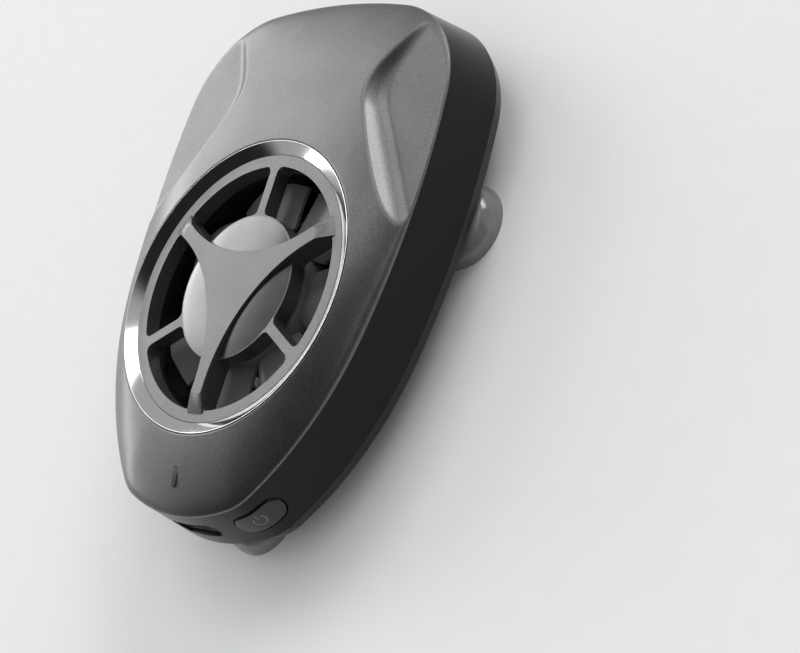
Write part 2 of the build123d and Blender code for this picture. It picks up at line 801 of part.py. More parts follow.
# Shaft, its clip and the bearing sleeve.
sleeve_bottom = base_top + 2 * clip_depth + 2 * slide_gap
clip_bottom = sleeve_bottom - slide_gap - clip_depth
with BuildPart() as fan_shaft:
    with BuildSketch(fan_plane.offset(base_top + slide_gap)):
        Circle(shaft_radius)
    extrude(amount=hub_roof - base_top - slide_gap)
fan_shaft.part.label = "fan_shaft"
export_step(fan_shaft.part, "parts/fan_shaft.step")

with BuildPart() as shaft_clip:
    with BuildSketch(fan_plane.offset(clip_bottom)):
        Circle(clip_radius)
        Circle(shaft_radius + running_gap, mode=Mode.SUBTRACT)
    extrude(amount=clip_depth)
shaft_clip.part.label = "shaft_clip"
export_step(shaft_clip.part, "parts/shaft_clip.step")

with BuildPart() as bearing_sleeve:
    with BuildSketch(fan_plane.offset(sleeve_bottom)):
        Circle(tube_radius - tube_wall - fit_gap)
        Circle(shaft_radius + running_gap, mode=Mode.SUBTRACT)
    extrude(amount=base_top + tube_height - sleeve_bottom)
bearing_sleeve.part.label = "bearing_sleeve"
export_step(bearing_sleeve.part, "parts/bearing_sleeve.step")

# Stator core on the bearing tube, with a shoe at the end of each pole.
core_radius = magnet_radius - magnet_wall - air_gap
core_bore = tube_radius + fit_gap
core_hub_radius = core_bore + core_hub_wall
shoe_inner_radius = core_radius - pole_shoe_depth
with BuildPart() as stator_core:
    with BuildSketch(fan_plane.offset(core_seat)):
        Circle(core_radius)
        Circle(shoe_inner_radius, mode=Mode.SUBTRACT)
        with PolarLocations(core_radius, pole_count, start_angle=180 / pole_count):
            Rectangle(2 * pole_shoe_depth + 2 * cut_overrun, pole_slot, mode=Mode.SUBTRACT)
        with PolarLocations(core_radius / 2, pole_count):
            Rectangle(core_radius - pole_shoe_depth, pole_width)
        Circle(core_hub_radius)
        Circle(core_bore, mode=Mode.SUBTRACT)
    extrude(amount=core_depth)
stator_core.part.label = "stator_core"
export_step(stator_core.part, "parts/stator_core.step")

# Coils, one round each pole.
coil_inner = core_hub_radius + coil_margin
coil_half_width = pole_width / 2 + coil_margin + coil_build
coil_limit = shoe_inner_radius - coil_margin
coil_run = coil_limit - sag(coil_limit, coil_half_width) - coil_inner
with BuildPart() as stator_coils:
    with BuildSketch(fan_plane.offset(core_middle)):
        with PolarLocations(coil_inner + coil_run / 2, pole_count):
            Rectangle(coil_run, 2 * coil_half_width)
    extrude(amount=core_depth / 2 + coil_margin + coil_build, both=True)
    with BuildSketch(fan_plane.offset(core_middle)):
        with PolarLocations(coil_inner + coil_run / 2, pole_count):
            Rectangle(coil_run, pole_width + 2 * coil_margin)
    extrude(amount=core_depth / 2 + coil_margin, both=True, mode=Mode.SUBTRACT)
stator_coils.part.label = "stator_coils"
export_step(stator_coils.part, "parts/stator_coils.step")

# Motor board on the base.
with BuildPart() as motor_board:
    with BuildSketch(fan_plane.offset(base_top)):
        Circle(motor_board_radius)
        Circle(step_radius + slide_gap, mode=Mode.SUBTRACT)
    extrude(amount=motor_board_thickness)
motor_board.part.label = "motor_board"
export_step(motor_board.part, "parts/motor_board.step")

# Main board, hung under the front cover below the fan.
with BuildPart() as main_board:
    with BuildSketch(Plane.XY.offset(board_bottom)):
        add(body_outline(frame_draft + wall + board_edge_gap))
        with Locations((0, fan_y + board_top_y + fan_to_top)):
            Rectangle(2 * half_width, 2 * fan_to_top, mode=Mode.SUBTRACT)
        with Locations((0, fan_y)):
            Circle(duct_radius + board_edge_gap, mode=Mode.SUBTRACT)
        with Locations(*[(x, fan_y + y) for x, y in pair(board_screw)]):
            Circle(small_shank_radius + slide_gap, mode=Mode.SUBTRACT)
    extrude(amount=board_thickness)
    with BuildSketch(button_plane.offset(-button_depth - button_travel - button_gap)):
        Rectangle(2 * flange_length, 2 * frame_depth)
    extrude(amount=button_depth + cut_overrun, mode=Mode.SUBTRACT)
main_board.part.label = "main_board"
export_step(main_board.part, "parts/main_board.step")

with BuildPart() as board_screws:
    add(screws(pair(board_screw), board_bottom, 1, small_shank_radius, board_shank_length,
               small_head_radius, small_head_depth))
board_screws.part.label = "board_screws"
export_step(board_screws.part, "parts/board_screws.step")

# Charging inlet: a seamless shell with its tongue, under the board.
with BuildPart() as usb_shell:
    with BuildSketch(inlet_plane):
        SlotOverall(inlet_width, inlet_height)
    extrude(amount=-inlet_length)
    with BuildSketch(inlet_plane):
        SlotOverall(inlet_width - 2 * inlet_wall, inlet_height - 2 * inlet_wall)
    extrude(amount=inlet_wall - inlet_length, mode=Mode.SUBTRACT)
usb_shell.part.label = "usb_shell"
export_step(usb_shell.part, "parts/usb_shell.step")

with BuildPart() as usb_tongue:
    with BuildSketch(inlet_plane.offset(inlet_wall - inlet_length)):
        plug_height = inlet_height - 2 * inlet_wall - 2 * fit_gap
        SlotOverall(inlet_width - 2 * inlet_wall - 2 * fit_gap, plug_height)
    extrude(amount=inlet_plug_depth)
    with BuildSketch(inlet_plane.offset(-tongue_setback)):
        Rectangle(tongue_width, tongue_thickness)
    extrude(amount=tongue_setback - inlet_length + inlet_wall)
usb_tongue.part.label = "usb_tongue"
export_step(usb_tongue.part, "parts/usb_tongue.step")

# Parts on top of the board.
chip_place = (-chip_width - board_part_gap, board_top_y - board_part_gap - chip_width / 2)
inductor_place = (inductor_radius + 2 * board_part_gap, chip_place[1])
with BuildPart() as control_chip:
    with BuildSketch(fan_plane.offset(board_top)):
        with Locations(chip_place):
            RectangleRounded(chip_width, chip_width, fit_gap)
    extrude(amount=chip_height)
control_chip.part.label = "control_chip"
export_step(control_chip.part, "parts/control_chip.step")

with BuildPart() as charge_inductor:
    with BuildSketch(fan_plane.offset(board_top)):
        with Locations(inductor_place):
            RectangleRounded(2 * inductor_radius, 2 * inductor_radius, inductor_radius / 2)
    extrude(amount=inductor_height)
charge_inductor.part.label = "charge_inductor"
export_step(charge_inductor.part, "parts/charge_inductor.step")

with BuildPart() as capacitors:
    with BuildSketch(fan_plane.offset(board_top)):
        capacitor_y = chip_place[1] - chip_width / 2 - board_part_gap - capacitor_length / 2
        with Locations(*[(x, capacitor_y) for x in (chip_place[0], inductor_place[0])]):
            with GridLocations(2 * capacitor_width, 0, capacitor_count, 1):
                Rectangle(capacitor_width, capacitor_length)
    extrude(amount=capacitor_width)
capacitors.part.label = "capacitors"
export_step(capacitors.part, "parts/capacitors.step")

with BuildPart() as indicator_lamp:
    with BuildSketch(Plane(origin=(0, fan_y - slot_below_fan, board_top))):
        Rectangle(lamp_width, slot_length)
    extrude(amount=lamp_height)
indicator_lamp.part.label = "indicator_lamp"
export_step(indicator_lamp.part, "parts/indicator_lamp.step")

# Battery on its foam pad, above the fan.
battery_middle = fan_y + battery_above_fan + battery_length / 2
with BuildPart() as battery_pad:
    with BuildSketch(Plane(origin=(0, battery_middle, rear_inside))):
        pad_length = battery_length - 2 * pad_margin
        RectangleRounded(battery_width - 2 * pad_margin, pad_length, battery_corner_radius)
    extrude(amount=pad_thickness)
battery_pad.part.label = "battery_pad"
export_step(battery_pad.part, "parts/battery_pad.step")

with BuildPart() as battery:
    with BuildSketch(Plane(origin=(0, battery_middle, rear_inside + pad_thickness))):
        RectangleRounded(battery_width, battery_length, battery_corner_radius)
    extrude(amount=battery_height)
battery.part.label = "battery"
export_step(battery.part, "parts/battery.step")
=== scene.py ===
"""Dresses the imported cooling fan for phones: smooth metal covers, cups, fan, inlet and a plain studio."""
import json
import math

import bpy
import numpy as np
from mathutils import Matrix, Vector
from mathutils.bvhtree import BVHTree


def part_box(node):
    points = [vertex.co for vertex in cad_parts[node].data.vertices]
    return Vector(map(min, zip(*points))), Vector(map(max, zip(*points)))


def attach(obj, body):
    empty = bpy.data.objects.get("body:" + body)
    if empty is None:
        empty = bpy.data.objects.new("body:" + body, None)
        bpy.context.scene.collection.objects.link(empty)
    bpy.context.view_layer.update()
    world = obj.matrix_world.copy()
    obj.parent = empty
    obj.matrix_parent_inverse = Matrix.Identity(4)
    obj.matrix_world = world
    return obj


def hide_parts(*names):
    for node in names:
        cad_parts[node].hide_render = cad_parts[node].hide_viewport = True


bl_info = {
    "name": "Phone cooling fan",
    "version": (1, 0, 0),
    "blender": (4, 5, 0),
    "location": "View3D > Sidebar > Cooling fan",
    "description": "Builds the visible pieces and finishes of a small fan that sticks to a phone's back",
    "category": "Object",
}

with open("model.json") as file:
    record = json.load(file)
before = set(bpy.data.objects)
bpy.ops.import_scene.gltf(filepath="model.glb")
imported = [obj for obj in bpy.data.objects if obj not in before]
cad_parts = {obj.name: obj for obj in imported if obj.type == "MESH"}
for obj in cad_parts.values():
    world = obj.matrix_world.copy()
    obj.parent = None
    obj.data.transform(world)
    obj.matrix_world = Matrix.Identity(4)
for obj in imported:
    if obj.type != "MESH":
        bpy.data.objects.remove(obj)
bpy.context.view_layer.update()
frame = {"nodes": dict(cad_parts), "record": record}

MM = 0.001
BEZEL_LOW, BEZEL_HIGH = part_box("bezel_ring")
FAN_X = (BEZEL_LOW.x + BEZEL_HIGH.x) / 2
FAN_Y = (BEZEL_LOW.y + BEZEL_HIGH.y) / 2
BEZEL_RADIUS = (BEZEL_HIGH.x - BEZEL_LOW.x) / 2
CROWN_TOP = BEZEL_HIGH.z
BAND_LOW, BAND_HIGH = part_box("mid_frame")
RING_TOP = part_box("guard_star")[0].z
SLOT_OF = {s["node"]: s["material_slot"] for s in frame["record"]["subparts"]}
BODY_OF = {n: body for body, nodes in frame["record"]["behaviour"]["bodies"].items() for n in nodes}

# Points of a mesh that lie closer than this are joined.
COPY_WELD = 0.0005 * MM
TURNED_WELD = 0.001 * MM
COVER_WELD = 0.0001 * MM

# Rays that look for a surface start this far outside it.
STAND_OFF = MM

# The pieces that are merged, and the property with the width of their eased edges, if they have any.
EDGES = {
    "mid_frame": None,
    "fan_guard": "guard_edge",
    "guard_star": "star_edge",
    "power_button": None,
    "rear_cover": "rear_edge",
    "impeller": None,
    "cup_left": None,
    "cup_right": None,
    "cup_foot": None,
}

# Moulded finishes of the pieces inside, by the slot that takes them.
MOULDED = {
    "switch_parts": dict(name="switch_plastic", colour=(0.03, 0.03, 0.03), rough=0.45),
    "magnet_ferrite": dict(name="ferrite", colour=(0.04, 0.04, 0.042), rough=0.5),
    "circuit_board": dict(name="solder_mask", colour=(0.01, 0.07, 0.03), rough=0.3, grain_size=0.6 * MM),
    "chip_epoxy": dict(name="chip_epoxy", colour=(0.02, 0.02, 0.02), rough=0.5),
    "ceramic": dict(name="ceramic", colour=(0.4, 0.29, 0.18), rough=0.4),
    "lamp": dict(name="lamp_resin", colour=(0.7, 0.7, 0.62), rough=0.15),
    "foam": dict(name="foam_tape", colour=(0.03, 0.03, 0.03), rough=0.8, grain_size=0.5 * MM,
                 depth=0.05 * MM),
}

# Bare metals, by the slot that takes them. Turned or drawn marks are denser along one axis.
METALS = {
    "screw_steel": dict(name="screw_steel", colour=(0.5, 0.5, 0.52), rough=0.3),
    "motor_steel": dict(name="motor_steel", colour=(0.4, 0.4, 0.42), rough=0.35, density=(1, 1, 6)),
    "bronze": dict(name="sintered_bronze", colour=(0.5, 0.33, 0.16), rough=0.45),
    "copper": dict(name="copper_wire", colour=(0.62, 0.27, 0.12), rough=0.3, density=(1, 1, 8)),
    "inlet_steel": dict(name="inlet_steel", colour=(0.6, 0.6, 0.62), rough=0.25, density=(1, 6, 1)),
    "battery_wrap": dict(name="battery_foil", colour=(0.4, 0.41, 0.43), rough=0.4, density=(1, 4, 1)),
}

# Each lamp's place and size, in metres, and its power, in watts.
LAMPS = {
    "key": dict(place=(-2.5, 0.8, 1.6), size=(1.6, 1.2), power=16),
    "over": dict(place=(-0.6, 1.7, 2.4), size=(1.6, 1.0), power=14),
    "left_strip": dict(place=(-2.4, 0.4, 0.66), size=(2.2, 0.4), power=17),
    "far_strip": dict(place=(0.7, 2.6, 1.3), size=(2.2, 0.7), power=42),
    "rim_strip": dict(place=(1.8, 0.72, 2.2), size=(3.0, 0.08), power=4.8),
}

# Filled by the first operator: each finish, by the slot that takes it.
FINISHES = {}


class Sock:
    """A node's output, with operators that add Math nodes, so that expressions can be written with it."""

    def __init__(self, nodes, socket):
        self.nodes = nodes
        self.socket = socket

    def math(self, operation, other):
        return self.nodes.node("ShaderNodeMath", {"operation": operation}, {0: self, 1: other})

    def __add__(self, other):
        return self.math("ADD", other)

    def __mul__(self, other):
        return self.math("MULTIPLY", other)

    __radd__ = __add__
    __rmul__ = __mul__


class Nodes:
    """A node tree, with one method that adds any node."""

    def __init__(self, tree):
        self.tree = tree

    def node(self, kind, settings=None, inputs=None, output=0):
        """Adds a node: its settings first, then its sockets' values or links."""
        node = self.tree.nodes.new(kind)
        for key, value in (settings or {}).items():
            if key == "stops":
                for element, (place, colour) in zip(node.color_ramp.elements, value):
                    element.position = place
                    element.color = (*colour, 1)
            else:
                setattr(node, key, value)
        self.fill(node, inputs or {})
        return Sock(self, node.outputs[output])

    def fill(self, node, inputs):
        """Gives a node's sockets their values or links."""
        for key, value in inputs.items():
            if isinstance(value, Sock):
                self.tree.links.new(value.socket, node.inputs[key])
            else:
                node.inputs[key].default_value = value


class Shader(Nodes):
    """One material's nodes, with a Principled shader to fill in."""

    def __init__(self, name, **inputs):
        self.material = bpy.data.materials.new(name)
        self.material.use_nodes = True
        super().__init__(self.material.node_tree)
        self.set(**inputs)

    def set(self, **inputs):
        """Fills the main shader's sockets, given with underscores for spaces."""
        main = self.tree.nodes["Principled BSDF"]
        self.fill(main, {key.replace("_", " "): value for key, value in inputs.items()})

    def noise(self, size, detail, density=(1, 1, 1)):
        """Noise in the object's frame, with features of about a size, in metres, or denser along an axis."""
        place = self.node("ShaderNodeTexCoord", output="Object")
        mapped = self.node("ShaderNodeMapping", {}, {"Vector": place, "Scale": density})
        return self.node("ShaderNodeTexNoise", {}, {"Vector": mapped, "Scale": 1 / size, "Detail": detail})

    def ramp(self, fac, dark, light, low=0.3, high=0.7):
        """A colour ramp that is dark up to a low factor and light from a high one."""
        return self.node("ShaderNodeValToRGB", {"stops": ((low, dark), (high, light))}, {"Fac": fac})

    def spread(self, fac, low, high):
        """A factor from 0 to 1, spread from low to high."""
        return self.node("ShaderNodeMapRange", {}, {"Value": fac, "To Min": low, "To Max": high})

    def mix(self, fac, first, second):
        """A colour between two: sockets 6 and 7 and output 2 are a Mix node's colours."""
        inputs = {0: fac, 6: (*first, 1), 7: (*second, 1)}
        return self.node("ShaderNodeMix", {"data_type": "RGBA"}, inputs, output=2)

    def bump(self, height, depth, strength):
        """Bumps the surface by a height of a given depth, in metres."""
        inputs = {"Height": height, "Distance": depth, "Strength": strength}
        self.set(Normal=self.node("ShaderNodeBump", {}, inputs))


def grey(tone):
    """A neutral colour of a given tone."""
    return (tone, tone, tone)


class CoolerFinishes(bpy.types.PropertyGroup):
    """Tones and roughness of the finishes that show."""
    cover_tones: bpy.props.FloatVectorProperty(
        name="Cover tones", description="Darkest and lightest tone of the cover's metal", size=2,
        default=(0.085, 0.165), min=0, max=1)
    cover_rough: bpy.props.FloatVectorProperty(
        name="Cover roughness", description="Least and greatest roughness of the cover", size=2,
        default=(0.34, 0.46), min=0, max=1)
    grain_size: bpy.props.FloatProperty(
        name="Grain size", description="Size of the sparkling grain in the cover's metal",
        default=0.22 * MM, unit="LENGTH")
    grain_depth: bpy.props.FloatProperty(
        name="Grain depth", description="Depth of the cover's grain", default=0.02 * MM, unit="LENGTH")
    grain_share: bpy.props.FloatProperty(
        name="Grain share", description="Share of the grain in the cover's tone, beside the slow clouds",
        subtype="FACTOR", default=0.7, min=0, max=1)
    cloud_size: bpy.props.FloatProperty(
        name="Cloud size", description="Size of the slow changes in the cover's tone",
        default=9 * MM, unit="LENGTH")
    cap_tones: bpy.props.FloatVectorProperty(
        name="Cap tones", description="Darkest and lightest tone of the guard's cap", size=2,
        default=(0.1, 0.13), min=0, max=1)
    cap_rough: bpy.props.FloatVectorProperty(
        name="Cap roughness", description="Least and greatest roughness of the guard's cap", size=2,
        default=(0.2, 0.26), min=0, max=1)
    haze_size: bpy.props.FloatProperty(
        name="Haze size", description="Size of the soft changes on the guard's cap",
        default=5 * MM, unit="LENGTH")
    bezel_tone: bpy.props.FloatProperty(
        name="Bezel tone", description="Tone of the polished bezel",
        subtype="FACTOR", default=0.62, min=0, max=1)
    bezel_rough: bpy.props.FloatVectorProperty(
        name="Bezel roughness", description="Least and greatest roughness of the bezel", size=2,
        default=(0.09, 0.16), min=0, max=1)
    wipe_size: bpy.props.FloatProperty(
        name="Wipe size", description="Size of the wipe marks on the bezel", default=3 * MM, unit="LENGTH")
    band_colour: bpy.props.FloatVectorProperty(
        name="Band colour", description="Colour of the side band, the back and the duct", subtype="COLOR",
        size=3, default=(0.005, 0.005, 0.0052), min=0, max=1)
    band_rough: bpy.props.FloatProperty(
        name="Band roughness", description="Roughness of the side band, the back and the duct",
        subtype="FACTOR", default=0.24, min=0, max=1)
    band_shine: bpy.props.FloatProperty(
        name="Band shine", description="How strongly the side band mirrors what is round it",
        subtype="FACTOR", default=0.2, min=0, max=1)
    button_colour: bpy.props.FloatVectorProperty(
        name="Button colour", description="Colour of the power button", subtype="COLOR", size=3,
        default=(0.006, 0.006, 0.0065), min=0, max=1)
    button_rough: bpy.props.FloatProperty(
        name="Button roughness", description="Roughness of the power button",
        subtype="FACTOR", default=0.14, min=0, max=1)
    lens_colour: bpy.props.FloatVectorProperty(
        name="Lens colour", description="Colour of the light slot's smoked lens", subtype="COLOR", size=3,
        default=(0.03, 0.03, 0.033), min=0, max=1)
    fan_colour: bpy.props.FloatVectorProperty(
        name="Fan colour", description="Colour of the fan's wheel and the power sign", subtype="COLOR",
        size=3, default=(0.12, 0.121, 0.124), min=0, max=1)
    cup_colour: bpy.props.FloatVectorProperty(
        name="Cup colour", description="Colour of the clean cups", subtype="COLOR", size=3,
        default=(0.13, 0.133, 0.137), min=0, max=1)
    bloom_colour: bpy.props.FloatVectorProperty(
        name="Bloom colour", description="Colour of the cups' bloom of dust", subtype="COLOR", size=3,
        default=(0.18, 0.183, 0.188), min=0, max=1)
    bloom_size: bpy.props.FloatProperty(
        name="Bloom size", description="Size of the patches of dust", default=2.2 * MM, unit="LENGTH")
    cup_rough: bpy.props.FloatVectorProperty(
        name="Cup roughness", description="Least and greatest roughness of the cups", size=2,
        default=(0.18, 0.3), min=0, max=1)


class CoolerCover(bpy.types.PropertyGroup):
    """Shape of the front cover."""
    crown_depth: bpy.props.FloatProperty(
        name="Crown depth", description="How far the crown falls from the bezel to its edge",
        default=3.45 * MM, unit="LENGTH")
    edge_crowding: bpy.props.FloatProperty(
        name="Edge crowding", description="How much closer the rows lie where the crown turns down",
        default=1.7)
    rim_inset: bpy.props.FloatProperty(
        name="Rim inset", description="How far under the seam the side band's outline is measured",
        default=0.05 * MM, unit="LENGTH")
    rim_smoothing: bpy.props.IntProperty(
        name="Rim smoothing", description="How many places of the rim are averaged, an odd number",
        default=7)
    lip_round: bpy.props.FloatProperty(
        name="Lip round", description="Radius of the cover's edge at the bezel",
        default=0.22 * MM, unit="LENGTH")
    lip_gap: bpy.props.FloatProperty(
        name="Lip gap", description="Gap between the cover and the bezel", default=0.05 * MM, unit="LENGTH")
    thickness: bpy.props.FloatProperty(
        name="Thickness", description="Thickness of the cover's wall", default=1.3 * MM, unit="LENGTH")
    shoulder_corner: bpy.props.FloatVectorProperty(
        name="Shoulder corner", description="The shoulder's inner corner, from the fan's axis", size=2,
        default=(14.3 * MM, 31.1 * MM), unit="LENGTH")
    shoulder_top: bpy.props.FloatVectorProperty(
        name="Shoulder top", description="Upper end of the shoulder's ridge", size=2,
        default=(21.2 * MM, 45.6 * MM), unit="LENGTH")
    shoulder_low: bpy.props.FloatVectorProperty(
        name="Shoulder low", description="Lower end of the shoulder's ridge", size=2,
        default=(28.2 * MM, 9.5 * MM), unit="LENGTH")
    shoulder_depth: bpy.props.FloatProperty(
        name="Shoulder depth", description="Depth of the shoulder's floor under the crown's top",
        default=2.6 * MM, unit="LENGTH")
    shoulder_tilt: bpy.props.FloatProperty(
        name="Shoulder tilt", description="Slope of the shoulder's floor",
        default=math.radians(3), unit="ROTATION")
    shoulder_rise: bpy.props.FloatProperty(
        name="Shoulder rise", description="How far the shoulder's floor rises toward its low end",
        default=0.12 * MM, unit="LENGTH")
    wall_tilt: bpy.props.FloatProperty(
        name="Wall tilt", description="Lean of the shoulder's wall from the upright",
        default=math.radians(42), unit="ROTATION")
    corner_round: bpy.props.FloatProperty(
        name="Corner round", description="Rounding of the shoulder's corner",
        default=3.6 * MM, unit="LENGTH")
    foot_round: bpy.props.FloatProperty(
        name="Foot round", description="Rounding at the foot of the shoulder's wall",
        default=1.5 * MM, unit="LENGTH")
    ridge_round: bpy.props.FloatProperty(
        name="Ridge round", description="Rounding of the shoulder's ridge", default=0.22 * MM, unit="LENGTH")
    slot_width: bpy.props.FloatProperty(
        name="Slot width", description="Width of the light slot", default=0.9 * MM, unit="LENGTH")
    slot_length: bpy.props.FloatProperty(
        name="Slot length", description="Length of the light slot", default=3 * MM, unit="LENGTH")
    slot_depth: bpy.props.FloatProperty(
        name="Slot depth", description="Height of the block that cuts the slot, half of it above the lens",
        default=4 * MM, unit="LENGTH")
    turns: bpy.props.IntProperty(name="Turns", description="Divisions round the cover", default=640)
    rows: bpy.props.IntProperty(name="Rows", description="Divisions from the bezel to the rim", default=122)
    lip_rows: bpy.props.IntProperty(name="Lip rows", description="Divisions of the rounded lip", default=5)
    lining_rows: bpy.props.IntProperty(name="Lining rows", description="Divisions of the inside", default=12)
    smooth_angle: bpy.props.FloatProperty(
        name="Smooth angle", description="Edges that turn more stay sharp",
        default=math.radians(50), unit="ROTATION")


class CoolerDetails(bpy.types.PropertyGroup):
    """Sizes of the smaller pieces."""
    guard_edge: bpy.props.FloatProperty(
        name="Guard edge", description="Width of the guard's eased edges", default=0.12 * MM, unit="LENGTH")
    star_edge: bpy.props.FloatProperty(
        name="Star edge", description="Width of the star's eased edges", default=0.1 * MM, unit="LENGTH")
    rear_edge: bpy.props.FloatProperty(
        name="Rear edge", description="Width of the back's eased edges", default=0.14 * MM, unit="LENGTH")
    edge_angle: bpy.props.FloatProperty(
        name="Edge angle", description="Edges that turn more are eased, or stay sharp on turned pieces",
        default=math.radians(28), unit="ROTATION")
    flat_angle: bpy.props.FloatProperty(
        name="Flat angle", description="Faces that turn less are joined before their edges are eased",
        default=math.radians(0.4), unit="ROTATION")
    plain_angle: bpy.props.FloatProperty(
        name="Plain angle", description="Edges that turn more stay sharp where none is eased",
        default=math.radians(32), unit="ROTATION")
    bezel_gap: bpy.props.FloatProperty(
        name="Bezel gap", description="Gap between the bezel and the guard",
        default=0.05 * MM, unit="LENGTH")
    bezel_lip: bpy.props.FloatProperty(
        name="Bezel lip", description="Flat edge round the bezel's slope", default=0.08 * MM, unit="LENGTH")
    bezel_round: bpy.props.FloatProperty(
        name="Bezel round", description="Rounding of the bezel's edges", default=0.07 * MM, unit="LENGTH")
    cap_radius: bpy.props.FloatProperty(
        name="Cap radius", description="Radius of the smooth cap on the guard's hub",
        default=10.93 * MM, unit="LENGTH")
    cap_rise: bpy.props.FloatProperty(
        name="Cap rise", description="How far the cap domes up", default=0.7 * MM, unit="LENGTH")
    cap_seat: bpy.props.FloatProperty(
        name="Cap seat", description="How deep the cap sits in the hub", default=0.3 * MM, unit="LENGTH")
    cap_fullness: bpy.props.FloatProperty(
        name="Cap fullness", description="2 gives a round dome, and more gives a fuller edge", default=2.6)
    cap_rows: bpy.props.IntProperty(name="Cap rows", description="Divisions up the dome", default=24)
    round_segments: bpy.props.IntProperty(
        name="Segments", description="Divisions round a turned piece", default=256)
    sign_radius: bpy.props.FloatProperty(
        name="Sign radius", description="Radius of the power sign on the button",
        default=0.95 * MM, unit="LENGTH")
    sign_stroke: bpy.props.FloatProperty(
        name="Sign stroke", description="Half the width of the power sign's line",
        default=0.1 * MM, unit="LENGTH")
    sign_gap: bpy.props.FloatProperty(
        name="Sign gap", description="Half the open angle of the sign's ring",
        default=math.radians(35), unit="ROTATION")
    sign_bar_shares: bpy.props.FloatVectorProperty(
        name="Sign bar", description="Where the sign's bar begins and ends, as shares of its radius", size=2,
        default=(0.35, 1.15))
    sign_relief: bpy.props.FloatProperty(
        name="Sign relief", description="Height of the sign's line, as a share of its width",
        subtype="FACTOR", default=0.4, min=0, max=1)
    contact_count: bpy.props.IntProperty(name="Contacts", description="Contacts on each face", default=12)
    contact_pitch: bpy.props.FloatProperty(
        name="Contact pitch", description="From one contact of the inlet to the next",
        default=0.5 * MM, unit="LENGTH")
    contact_size: bpy.props.FloatVectorProperty(
        name="Contact size", description="Width, length and thickness of a contact", size=3,
        default=(0.25 * MM, 3 * MM, 0.03 * MM), unit="LENGTH")
    contact_inset: bpy.props.FloatProperty(
        name="Contact inset", description="From the tongue's end to the middle of the contacts",
        default=2 * MM, unit="LENGTH")
    contact_height: bpy.props.FloatProperty(
        name="Contact height", description="From the tongue's middle to the middle of a contact",
        default=0.36 * MM, unit="LENGTH")
    contact_edge: bpy.props.FloatProperty(
        name="Contact edge", description="Width of a contact's bevelled edges",
        default=0.008 * MM, unit="LENGTH")


class CoolerStudio(bpy.types.PropertyGroup):
    """The floor, the room and the camera."""
    camera_place: bpy.props.FloatVectorProperty(
        name="Camera place", description="Where the camera stands", subtype="TRANSLATION", unit="LENGTH",
        default=(0.2322, -0.0719, 0.1969))
    camera_turn: bpy.props.FloatVectorProperty(
        name="Camera turn", description="The camera's XYZ angles", subtype="EULER", unit="ROTATION",
        default=(math.radians(28.963), math.radians(41.464), math.radians(22.606)))
    lens: bpy.props.FloatProperty(name="Lens", description="Focal length, in millimetres", default=96.02)
    nearest: bpy.props.FloatProperty(
        name="Nearest", description="Least distance that the camera shows", default=10 * MM, unit="LENGTH")
    floor_size: bpy.props.FloatProperty(
        name="Floor", description="Width of the floor", default=6.0, unit="LENGTH")
    floor_grey: bpy.props.FloatProperty(
        name="Floor grey", description="The floor's brightness", subtype="FACTOR", default=0.8, min=0, max=1)
    fibre_size: bpy.props.FloatProperty(
        name="Fibre size", description="Size of the floor's faint clouds", default=4 * MM, unit="LENGTH")
    fibre_share: bpy.props.FloatProperty(
        name="Fibre share", description="Brightness of the floor's darker clouds, as a share",
        subtype="FACTOR", default=0.98, min=0, max=1)
    aim_height: bpy.props.FloatProperty(
        name="Aim height", description="Height that the lamps point at", default=10 * MM, unit="LENGTH")
    room_grey: bpy.props.FloatProperty(
        name="Room grey", description="The room's brightness", subtype="FACTOR", default=0.57, min=0, max=1)
    room_tint: bpy.props.FloatVectorProperty(
        name="Room tint", description="Tint of the room's light", subtype="COLOR", size=3,
        default=(0.96, 0.98, 1), min=0, max=1)
    room_share: bpy.props.FloatProperty(
        name="Room share", description="Brightness of the room in reflections, as a share",
        subtype="FACTOR", default=0.9, min=0, max=1)
    dark_way: bpy.props.FloatVectorProperty(
        name="Dark way", description="Where reflections meet the dark wall", subtype="DIRECTION", size=3,
        default=(0.35, -0.75, 0.56))
    dark_share: bpy.props.FloatProperty(
        name="Dark share", description="Brightness of the dark wall, as a share of the room's",
        subtype="FACTOR", default=0.03, min=0, max=1)
    dark_edge: bpy.props.FloatVectorProperty(
        name="Dark edge", description="Where the dark wall begins and is full, as cosines from its middle",
        size=2, default=(0.3, 0.42))


def cover_metal(looks):
    """Satin cast metal with a fine sparkle under a thin clear coat."""
    shader = Shader("satin_cover", Metallic=0.85, Coat_Weight=0.3, Coat_Roughness=0.22)
    grain = shader.noise(looks.grain_size, detail=3)
    cloud = shader.noise(looks.cloud_size, detail=2)
    tone = grain * looks.grain_share + cloud * (1 - looks.grain_share)
    dark, light = looks.cover_tones
    shader.set(Base_Color=shader.ramp(tone, grey(dark), grey(light)))
    shader.set(Roughness=shader.spread(grain, *looks.cover_rough))
    shader.bump(grain, looks.grain_depth, strength=0.45)
    return shader.material


def smooth_metal(looks):
    """The guard's domed cap: the cover's metal, finer and without sparkle."""
    shader = Shader("smooth_cap", Metallic=0.9, Coat_Weight=0.3, Coat_Roughness=0.12)
    haze = shader.noise(looks.haze_size, detail=3)
    dark, light = looks.cap_tones
    shader.set(Base_Color=shader.ramp(haze, grey(dark), grey(light)))
    shader.set(Roughness=shader.spread(haze, *looks.cap_rough))
    return shader.material


def polished_metal(looks):
    """Mirror polish with the faintest wipe marks."""
    shader = Shader("polished_bezel", Metallic=1.0, Base_Color=(*grey(looks.bezel_tone), 1))
    wipe = shader.noise(looks.wipe_size, detail=4, density=(1, 1, 0.2))
    shader.set(Roughness=shader.spread(wipe, *looks.bezel_rough))
    return shader.material


